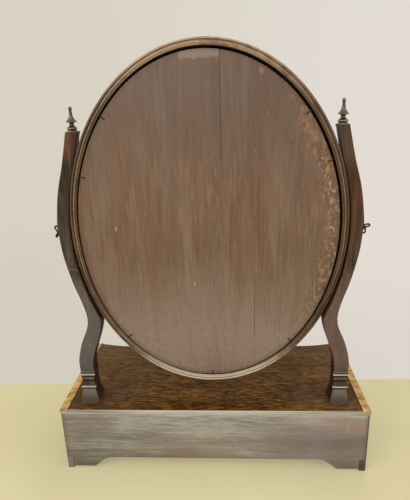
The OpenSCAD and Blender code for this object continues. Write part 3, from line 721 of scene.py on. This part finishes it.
def paintTop():
    look = {"run": "x", "waves": 10, "drift": 0.03, "figure": 34}
    finish = Finish("figuredMahoganyVeneer")
    broad, fibre, pore = woodLayers(finish, look)
    mottle = finish.drawn((85, 300, 60), 4, 0.65, finish.drifted(finish.place, 14, 0.02))
    tone = broad * 0.15 + fibre * 0.2 + mottle * 0.5 + finish.drawn((9, 20, 20), 2) * 0.15
    stops = (0.4, (38, 18, 1)), (0.47, (73, 44, 8)), (0.54, (107, 74, 27)), (0.62, (138, 101, 52))
    grain = finish.drawn((8, 8, 500), 3, 0.6)
    # the back edge: greyed, worn polish, with a painted highlight in its middle and along its top
    backEdgeWearAndHighlight = finish.coats(
        finish.ramp(grain, (0.36, (144, 137, 124)), (0.6, (194, 188, 176))),
        (finish.spot((0, 0.1), (0.11, 0.05), 0.9) * 0.5, (224, 220, 210)),
        (finish.ease(finish.z, topZ - 0.8 * mm, topZ - 0.3 * mm) * 0.7, (204, 198, 184)),
    )
    colour = finish.coats(
        finish.ramp(tone, *stops),
        # painted sheen: both ends of the top are lighter
        (finish.ease(abs(finish.x), 0.07, 0.2) * 0.25, (118, 98, 74)),
        (pore * 0.5, (28, 14, 6)),
        (1 - finish.ease(backY - finish.y, 0.2 * mm, 0.7 * mm), backEdgeWearAndHighlight),
    )
    roughness = 0.36 + (finish.noise(finish.place, 16, 3) - 0.5) * 0.3
    normal = finish.bumps(fibre * 0.4 - pore * 0.5, 0.15, 0.4 * mm)
    return finish.finishWith(colour, roughness, normal, 0.03, Specular_Tint=(1, 0.82, 0.55, 1))


def paintBrass(name, dark, light, rough):
    finish = Finish(name)
    cloud = finish.noise(finish.place, 260, 3, 0.6)
    colour = finish.mix(finish.ease(cloud, 0.35, 0.68), dark, light)
    roughness = rough + (cloud - 0.5) * 0.3
    return finish.finishWith(colour, roughness, finish.bumps(cloud, 0.12, 0.3 * mm), Metallic=1.0)


def paintGlass():  # silvered in front, dark protecting paint behind, which also stands as painted shade in the gap round the boards
    finish = Finish("silveredPlate")
    rim = finish.ease(finish.ovalPlace()[1], 18, 10)
    foxing = finish.ease(finish.noise(finish.place, 46, 4, 0.65) + rim * 0.16, 0.66, 0.74)
    colour = finish.mix(foxing, (222, 226, 226), (120, 110, 96))
    return finish.finishWith(colour, 0.03 + foxing * 0.3, Metallic=1.0)


def paintPlain(name, dark, light, size, rough):
    finish = Finish(name)
    cloud = finish.noise(finish.place, size, 3, 0.6)
    colour = finish.mix(finish.ease(cloud, 0.35, 0.65), dark, light)
    return finish.finishWith(colour, rough + (cloud - 0.5) * 0.15, shine=0.12)


finishes = {
    "mahogany": paintWood("polishedMahogany", mahoganyLook),
    "mahoganyUpright": paintWood("polishedMahoganyUpright", {**mahoganyLook, "run": "z"}),
    "mahoganySide": paintSides(),
    "lining": paintWood("bareLining", liningLook),
    "liningAcross": paintWood("bareLiningAcross", {**liningLook, "run": "x"}),
    "drawerFronts": paintDrawerFronts(),
    "satinwood": paintCrossband(),
    "boxwood": paintWood("paleBoxwood", boxwoodLook),
    "posts": paintPosts(),
    "finials": paintFinials(),
    "caseBack": paintCaseBack(),
    "boards": paintBackboards(),
    "frame": paintFrame(),
    "top": paintTop(),
    "wornDark": paintWornEdge("rubbedDarkEdge", (132, 116, 96), (62, 50, 40)),
    "wornRed": paintWornEdge("rubbedMahoganyEdge", (128, 92, 60), (66, 42, 26)),
    "wornPale": paintWornEdge("rubbedPaleEdge", (186, 158, 120), (128, 98, 68)),
    "screwBrass": paintBrass("darkenedBrass", (34, 28, 22), (74, 60, 44), 0.46),
    "knobBrass": paintBrass("handledBrass", (150, 118, 64), (190, 154, 88), 0.26),
    "iron": paintBrass("rustedIron", (40, 30, 26), (88, 66, 52), 0.6),
    "glass": paintGlass(),
    "string": paintPlain("darkStringing", (34, 22, 14), (58, 38, 22), 300, 0.45),
    "sootyBlocks": paintPlain("sootyBlocks", (34, 25, 19), (52, 40, 30), 120, 0.8),
    # dark paint on the glass's back, which also stands as painted shade in the gap round the boards
    "backing": paintPlain("darkBackingPaintAndGapShade", (26, 19, 15), (38, 29, 23), 90, 0.8),
}
print("finishes made:", len(finishes))


# modelling tools, with angles in degrees

tools = {"merge": 1e-6, "flatAngle": 0.6, "bevelAngle": 30, "turningSides": 48}


def clearSelection():
    if bpy.context.object and bpy.context.object.mode != "OBJECT":
        bpy.ops.object.mode_set(mode="OBJECT")
    bpy.ops.object.select_all(action="DESELECT")


def pick(piece):
    clearSelection()
    piece.select_set(True)
    bpy.context.view_layer.objects.active = piece


def openMesh(piece):
    pick(piece)
    bpy.ops.object.mode_set(mode="EDIT")
    bpy.ops.mesh.select_all(action="SELECT")


def grow(move, stretch, centre):
    bpy.ops.mesh.extrude_region_move(TRANSFORM_OT_translate={"value": move})
    bpy.ops.transform.resize(value=stretch, center_override=centre)


def closeMesh():
    bpy.ops.mesh.select_all(action="SELECT")
    bpy.ops.mesh.remove_doubles(threshold=tools["merge"])
    bpy.ops.mesh.normals_make_consistent(inside=False)
    bpy.ops.object.mode_set(mode="OBJECT")


def settle(piece, matrix=None):  # puts a piece's place into its mesh
    pick(piece)
    if matrix is not None:
        piece.matrix_world = matrix @ piece.matrix_world
    bpy.ops.object.transform_apply(location=True, rotation=True, scale=True)


def leanBack(piece):
    there, back = Matrix.Translation(pivot), Matrix.Translation(-pivot)
    settle(piece, there @ Matrix.Rotation(lean, 4, "X") @ back)


def roundEdges(piece, width, steps=2, ownFinish=False):
    pick(piece)
    bevel = piece.modifiers.new("roundedEdges", "BEVEL")
    bevel.width = width
    bevel.segments = steps
    bevel.limit_method = "ANGLE"
    bevel.angle_limit = math.radians(tools["bevelAngle"])
    bevel.use_clamp_overlap = True
    if ownFinish:
        bevel.material = 1
    bpy.ops.object.modifier_apply(modifier=bevel.name)


def smooth(piece, angle=35):
    pick(piece)
    bpy.ops.object.shade_smooth_by_angle(angle=math.radians(angle))


def giveFinishes(piece, looks):
    piece.data.materials.clear()
    for look in looks:
        piece.data.materials.append(finishes[look])


def dress(piece, name, body, slot, standsFor, *looks):
    piece.name = name
    piece.data.name = name
    giveFinishes(piece, looks)
    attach(piece, body)
    if standsFor:
        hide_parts(*standsFor)


# a CAD board with its arrises rubbed down
def softened(node, name, body, slot, looks, edge, steps=2):
    piece = bpy.data.objects.new(name, nodes[node].data.copy())
    bpy.context.scene.collection.objects.link(piece)
    giveFinishes(piece, looks)
    openMesh(piece)
    bpy.ops.mesh.remove_doubles(threshold=tools["merge"])
    bpy.ops.mesh.dissolve_limited(angle_limit=math.radians(tools["flatAngle"]))
    bpy.ops.object.mode_set(mode="OBJECT")
    bpy.ops.mesh.customdata_custom_splitnormals_clear()
    roundEdges(piece, edge, steps, len(looks) > 1)
    smooth(piece)
    dress(piece, name, body, slot, [node], *looks)
    return piece


def block(low, high):  # a box between two corners
    clearSelection()
    bpy.ops.mesh.primitive_cube_add(size=1, location=(low + high) / 2)
    piece = bpy.context.object
    piece.scale = high - low
    settle(piece)
    return piece


def hollow(piece, low, high):  # cuts a box out of a piece
    cutter = block(low, high)
    pick(piece)
    cut = piece.modifiers.new("recess", "BOOLEAN")
    cut.operation = "DIFFERENCE"
    cut.object = cutter
    bpy.ops.object.modifier_apply(modifier=cut.name)
    bpy.data.objects.remove(cutter)


def turned(profile):  # a turned solid up the Z axis, from pairs of height and radius
    clearSelection()
    height, radius = profile[0]
    bpy.ops.mesh.primitive_circle_add(
        vertices=tools["turningSides"], radius=radius, fill_type="NGON", location=(0, 0, height)
    )
    piece = bpy.context.object
    openMesh(piece)
    for nextHeight, nextRadius in profile[1:]:
        factor = nextRadius / radius
        grow((0, 0, nextHeight - height), (factor, factor, 1), (0, 0, nextHeight))
        height, radius = nextHeight, nextRadius
    closeMesh()
    smooth(piece, 50)
    return piece


def stacked(sections, corner):  # a square-cut solid up the Z axis, from boxes (x0, x1, y0, y1, z)
    clearSelection()
    x0, x1, y0, y1, z = sections[0]
    middle = Vector(((x0 + x1) / 2, (y0 + y1) / 2, z))
    bpy.ops.mesh.primitive_plane_add(size=1, location=middle)
    piece = bpy.context.object
    piece.scale = (x1 - x0, y1 - y0, 1)
    settle(piece)
    openMesh(piece)
    bpy.ops.mesh.bevel(affect="VERTICES", offset=corner, segments=3)
    bpy.ops.mesh.select_all(action="SELECT")
    wide, deep = x1 - x0, y1 - y0
    for x0, x1, y0, y1, z in sections[1:]:
        centre = Vector(((x0 + x1) / 2, (y0 + y1) / 2, z))
        grow(centre - middle, ((x1 - x0) / wide, (y1 - y0) / deep, 1), centre)
        middle, wide, deep = centre, x1 - x0, y1 - y0
    closeMesh()
    return piece


def ovalReach(inset):
    return Vector((oval["halfWidth"] - inset * mm, 1, oval["halfHeight"] - inset * mm))


def ovalMoulding(profile):  # a closed ring from pairs of inset and depth behind the pivots, in mm
    clearSelection()
    inset, depth = profile[0]
    centre = pivot + Vector((0, depth * mm, -oval["drop"]))
    bpy.ops.mesh.primitive_circle_add(
        vertices=oval["sides"], radius=1, fill_type="NOTHING",
        location=centre, rotation=(math.pi / 2, 0, 0),
    )
    piece = bpy.context.object
    reach = ovalReach(inset)
    piece.scale = (reach.x, reach.z, 1)
    settle(piece)
    openMesh(piece)
    for nextInset, nextDepth in [*profile[1:], profile[0]]:
        move = Vector((0, (nextDepth - depth) * mm, 0))
        centre = centre + move
        wanted = ovalReach(nextInset)
        grow(move, (wanted.x / reach.x, 1, wanted.z / reach.z), centre)
        reach, depth = wanted, nextDepth
    closeMesh()
    smooth(piece, 40)
    return piece


# the case

caseBoards = [  # node, piece, slot, finishes and rubbed edge in mm
    ("case_top", "caseTop", "mahogany", ("top", "top"), 0.4),
    ("left_side", "leftSide", "mahogany", ("mahoganySide", "wornRed"), 0.5),
    ("right_side", "rightSide", "mahogany", ("mahoganySide", "wornRed"), 0.5),
    ("case_back", "caseBack", "back_wood", ("caseBack", "caseBack"), 0.25),
    ("case_bottom", "caseBottom", "lining_wood", ("liningAcross",), 0.4),
    ("left_partition", "leftPartition", "mahogany", ("mahoganyUpright", "wornRed"), 0.4),
    ("right_partition", "rightPartition", "mahogany", ("mahoganyUpright", "wornRed"), 0.4),
    ("front_apron", "frontApron", "mahogany", ("mahogany", "wornRed"), 0.4),
    ("glue_blocks", "glueBlocks", "lining_wood", ("liningAcross", "wornPale"), 0.8),
    ("left_crossband", "leftCrossband", "satinwood", ("satinwood",), 0.15),
    ("right_crossband", "rightCrossband", "satinwood", ("satinwood",), 0.15),
]
for node, name, slot, looks, edge in caseBoards:
    softened(node, name, "base", slot, looks, edge * mm)

stringing = {  # it ends before the band in front and before the case's back
    "width": 1.5 * mm, "proud": 0.12 * mm, "sunk": 0.4 * mm, "front": 1.5 * mm, "back": 0.5 * mm,
}
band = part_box("right_crossband")[0]
for side, name in ((-1, "leftStringing"), (1, "rightStringing")):
    near, far = sorted((side * band.x, side * (band.x + stringing["width"])))
    strip = block(
        Vector((near, band.y + stringing["front"], topZ - stringing["sunk"])),
        Vector((far, backY - stringing["back"], topZ + stringing["proud"])),
    )
    roundEdges(strip, 0.1 * mm)
    dress(strip, name, "base", "satinwood", [], "string")
print("case made")


# plinths, posts and finials

plinth = {
    "low": 171.6, "high": 190.6, "back": 92.73, "front": 70.73,
    "foot": 102, "height": 51, "toe": 4.5, "corner": 0.7,
}
plinthCurve = [  # height and projection, in mm
    (0, 3.6), (0.4, 3.8), (2, 3.8), (2.5, 3.6), (5, 3.05), (8, 2.4), (11, 1.75), (14, 1.15),
    (17, 0.6), (20, 0.2), (22.6, 0), (24, 0), (24.4, 0.5), (25, 0.85), (26, 1), (27, 0.85),
    (27.6, 0.5), (28, 0), (29, -0.05), (31, -0.3), (34, -0.5), (38, -0.4), (42, -0.1), (43.8, 0),
    (44.2, 0.55), (44.9, 0.95), (46, 1.1), (47.1, 0.95), (47.8, 0.55), (48.2, 0), (48.9, -0.1),
    (49.2, 0.2), (49.5, 0.4), (51, 0.4),
]


def makePlinth(side, place):
    sections = []
    for height, out in plinthCurve:
        toe = plinth["toe"] * (1 - height / plinth["height"]) ** 1.5
        x0, x1 = sorted(side * v for v in (plinth["low"] - out, plinth["high"] + out))
        y0, y1 = plinth["front"] - out - toe, plinth["back"] + out
        sections.append([v * mm for v in (x0, x1, y0, y1, plinth["foot"] + height)])
    piece = stacked(sections, plinth["corner"] * mm)
    smooth(piece, 40)
    dress(piece, f"{place}Plinth", "base", "post_wood", [f"{place}_plinth"], "posts")


finialCurve = [  # height and radius above the post's cap, in mm
    (-0.2, 2.2), (0, 7.2), (0.5, 7.25), (0.9, 6.9), (1.4, 6.1), (2, 5.4), (2.6, 5.2), (3, 5.9),
    (3.5, 6.5), (4, 6.7), (4.5, 6.5), (5, 5.9), (5.8, 4.7), (6.8, 3.6), (7.8, 2.9), (8.8, 2.7),
    (9.8, 2.9), (10.6, 3.9), (11.2, 5.6), (11.7, 6.6), (12.1, 6.8), (12.5, 6.6), (13.1, 5.8),
    (14.2, 4.7), (15.8, 3.6), (17.8, 2.75), (20, 2.2), (22.4, 1.9), (24.6, 1.75), (25.6, 1.8),
    (26, 2), (26.6, 2.2), (27.4, 2.3), (28.3, 2.25), (29.1, 1.9), (29.7, 1.4), (30.1, 0.8),
    (30.3, 0.1),
]


def makeFinial(place):
    low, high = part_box(f"{place}_finial")
    piece = turned([(h * mm, r * mm) for h, r in finialCurve])
    settle(piece, Matrix.Translation(((low.x + high.x) / 2, (low.y + high.y) / 2, finialSeat)))
    dress(piece, f"{place}Finial", "base", "post_wood", [f"{place}_finial"], "finials")


makePlinth(1, "right")
makePlinth(-1, "left")
for place in ("right", "left"):
    looks = ("posts", "wornDark")
    softened(f"{place}_post", f"{place}Post", "base", "post_wood", looks, 0.8 * mm, 3)
makeFinial("right")
makeFinial("left")
print("posts made")


# the oval glass

frameCurve = [  # inset from the oval's edge and depth behind the pivots, in mm, from the sight edge
    (16, -5), (16, -11.1), (12.6, -11.1), (12.2, -11.5), (11.2, -11.9), (9.6, -12), (7, -11.9),
    (4.6, -11.5), (2.8, -10.8), (1.4, -9.7), (0.5, -8.3), (0.1, -6.8), (0, -5), (0, 8.4),
    (0.15, 9.3), (0.5, 10), (1, 10.5), (1.7, 10.85), (2.5, 10.9), (3.1, 10.6), (3.4, 10.1),
    (3.7, 9.7), (4, 9.65), (4.3, 9.9), (4.6, 10.35), (5.1, 10.6), (6, 10.65), (6.8, 10.5),
    (7.1, 10.1), (7.4, 9.95), (7.7, 10.1), (8, 10.45), (8.6, 10.55), (9.2, 10.4), (9.5, 9.9),
    (9.5, -5),
]
beadCurve = [
    (16, -11), (16, -12.2), (15.6, -13), (14.9, -13.5), (14.2, -13.7), (13.5, -13.5),
    (12.8, -13), (12.4, -12.2), (12.4, -11),
]
plateRecess = {"from": 178.2 * mm, "to": 182 * mm, "reach": Vector((0, 6.1, 15.1)) * mm}

ovalFrame = ovalMoulding(frameCurve)
for side in (-1, 1):
    near, far = sorted((side * plateRecess["from"], side * plateRecess["to"]))
    low = pivot - plateRecess["reach"] + Vector((near, 0, 0))
    hollow(ovalFrame, low, pivot + plateRecess["reach"] + Vector((far, 0, 0)))
leanBack(ovalFrame)
smooth(ovalFrame, 40)
dress(ovalFrame, "ovalFrame", "mirror", "frame_wood", ["mirror_frame"], "frame")

sightBead = ovalMoulding(beadCurve)
leanBack(sightBead)
dress(sightBead, "sightBead", "mirror", "boxwood", ["sight_bead"], "boxwood")

looks = ("glass", "backing")
plate = softened("glass_plate", "mirrorPlate", "mirror", "silvered_glass", looks, 0.5 * mm)
for face in plate.data.polygons:
    face.material_index = 1 if face.normal.y > -0.5 else 0

looks = ("boards", "boards")
softened("glass_blocks", "glassBlocks", "mirror", "lining_wood", ("sootyBlocks",), 0.3 * mm)
softened("backboard_wide", "backboardWide", "mirror", "board_wood", looks, 0.3 * mm)
softened("backboard_narrow", "backboardNarrow", "mirror", "board_wood", looks, 0.3 * mm)

seam = {  # old wax that closes its lower part, corners measured from the pivots
    "low": Vector((-19.3, 7.35, -205)) * mm, "high": Vector((-18.7, 8.85, 92)) * mm,
}
seamWax = block(pivot + seam["low"], pivot + seam["high"])
roundEdges(seamWax, 0.1 * mm)
leanBack(seamWax)
dress(seamWax, "seamWax", "mirror", "board_wood", [], "boards")

softened("backboard_pins", "backboardPins", "mirror", "iron", ("iron",), 0.1 * mm)
looks = ("screwBrass",)
for side in ("left", "right"):
    node = f"{side}_pivot_plate"
    softened(node, f"{side}PivotPlate", "mirror", "old_brass", looks, 0.3 * mm)
print("oval glass made")


# pivots

for side in ("left", "right"):
    softened(f"{side}_washer", f"{side}Washer", "base", "old_brass", looks, 0.2 * mm)
    node = f"{side}_thumb_screw"
    softened(node, f"{side}ThumbScrew", f"{side}_screw", "old_brass", looks, 0.15 * mm)
print("pivots made")


# the drawers

knobLength = 16 * mm
knobCurve = [  # distance from the seat and radius, in mm
    (0, 2), (0, 6.9), (0.9, 7), (1.5, 6.6), (1.9, 5.2), (2.3, 3.7), (3.2, 2.9), (4.6, 2.5),
    (5.8, 2.5), (6.8, 3.2), (7.6, 4.4), (8.4, 5.6), (9.2, 6.5), (10.2, 7), (11.4, 7),
    (12.6, 6.7), (13.6, 6), (14.5, 5), (15.2, 3.7), (15.7, 2.2), (16, 0.4),
]
drawerBoards = [  # part, slot, finishes and rubbed edge in mm
    ("front", "mahogany", ("drawerFronts", "wornRed"), 0.5),
    ("inner_side", "lining_wood", ("lining", "wornPale"), 0.4),
    ("outer_side", "lining_wood", ("lining", "wornPale"), 0.4),
    ("left_side", "lining_wood", ("lining", "wornPale"), 0.4),
    ("right_side", "lining_wood", ("lining", "wornPale"), 0.4),
    ("back", "lining_wood", ("liningAcross", "wornPale"), 0.4),
    ("bottom", "lining_wood", ("liningAcross",), 0.3),
]


def makeKnob(place, body):
    low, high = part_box(f"{place}_knob")
    seat = Vector(((low.x + high.x) / 2, low.y + knobLength, (low.z + high.z) / 2))
    piece = turned([(d * mm, r * mm) for d, r in knobCurve])
    settle(piece, Matrix.Translation(seat) @ Matrix.Rotation(math.pi / 2, 4, "X"))
    dress(piece, f"{place}Knob", body, "old_brass", [f"{place}_knob"], "knobBrass")


for place in ("left", "centre", "right"):
    body = f"{place}_drawer"
    for part, slot, looks, edge in drawerBoards:
        node = f"{body}_{part}"
        if node in nodes:
            words = "".join(word.capitalize() for word in part.split("_"))
            softened(node, f"{place}Drawer{words}", body, slot, looks, edge * mm)
    makeKnob(place, body)
print("drawers made")


# floor and background

stage = {
    "size": 30, "divisions": 8, "wall": (0, -6, 14.9),
    "edge": -112.3 * mm, "slant": -0.0272, "soft": 4 * mm,  # where the table ends
    "straw": ((225, 215, 170), (221, 210, 166)), "plaster": ((227, 220, 212), (217, 210, 195)),
}


def paintStage():
    finish = Finish("paleStage")
    cloud = finish.noise(finish.place, 5, 3)
    straw = finish.mix(finish.ease(cloud, 0.35, 0.65), *stage["straw"])
    across = (finish.x - shot["place"][0]) / (shot["place"][1] - finish.y)
    plaster = finish.mix(finish.ease(across, -0.42, 0.42), *stage["plaster"])
    past = finish.y + finish.x * stage["slant"]
    beyond = finish.ease(past, stage["edge"], stage["edge"] - stage["soft"])
    colour = finish.mix(beyond, straw, plaster)
    material = finish.finishWith(colour, 0.75, shine=0.2)
    glow = finish.node("ShaderNodeEmission", {}, {"Color": colour, "Strength": 1.0})
    share = 0.45 + 0.35 * finish.ease(finish.y, 0.1, 0.2)
    share = share + beyond * (0.25 + 0.3 * finish.ease(finish.y, -0.4, -1.6))
    surface = Link(finish, finish.shader.outputs[0])
    mixed = finish.node("ShaderNodeMixShader", {}, {0: finish.seen() * share, 1: surface, 2: glow})
    finish.fill(finish.tree.nodes["Material Output"], {"Surface": mixed})
    return material


def makeStage():
    material = paintStage()
    places = (
        ("tableTop", (0, 0, 0), (0, 0, 0)),
        ("farWall", stage["wall"], (math.pi / 2, 0, 0)),
    )
    for name, place, turn in places:
        clearSelection()
        bpy.ops.mesh.primitive_grid_add(
            x_subdivisions=stage["divisions"], y_subdivisions=stage["divisions"],
            size=stage["size"], location=place, rotation=turn,
        )
        piece = bpy.context.object
        settle(piece)
        piece.name = name
        piece.data.materials.append(material)
        piece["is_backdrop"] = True


room = {
    "soft": {"Color": (1, 0.985, 0.96, 1), "Strength": 0.55},
    "seen": {"Color": tint(223, 216, 204)},
}


def lightWorld():
    world = bpy.data.worlds.new("softRoom")
    world.use_nodes = True
    bpy.context.scene.world = world
    shades = Shades(world.node_tree)
    background = shades.tree.nodes["Background"]
    shades.fill(background, room["soft"])
    soft = Link(shades, background.outputs[0])
    seen = shades.node("ShaderNodeBackground", {}, room["seen"])
    mixed = shades.node("ShaderNodeMixShader", {}, {0: shades.seen(), 1: soft, 2: seen})
    shades.fill(shades.tree.nodes["World Output"], {"Surface": mixed})


makeStage()
lightWorld()
clearSelection()

low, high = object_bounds()
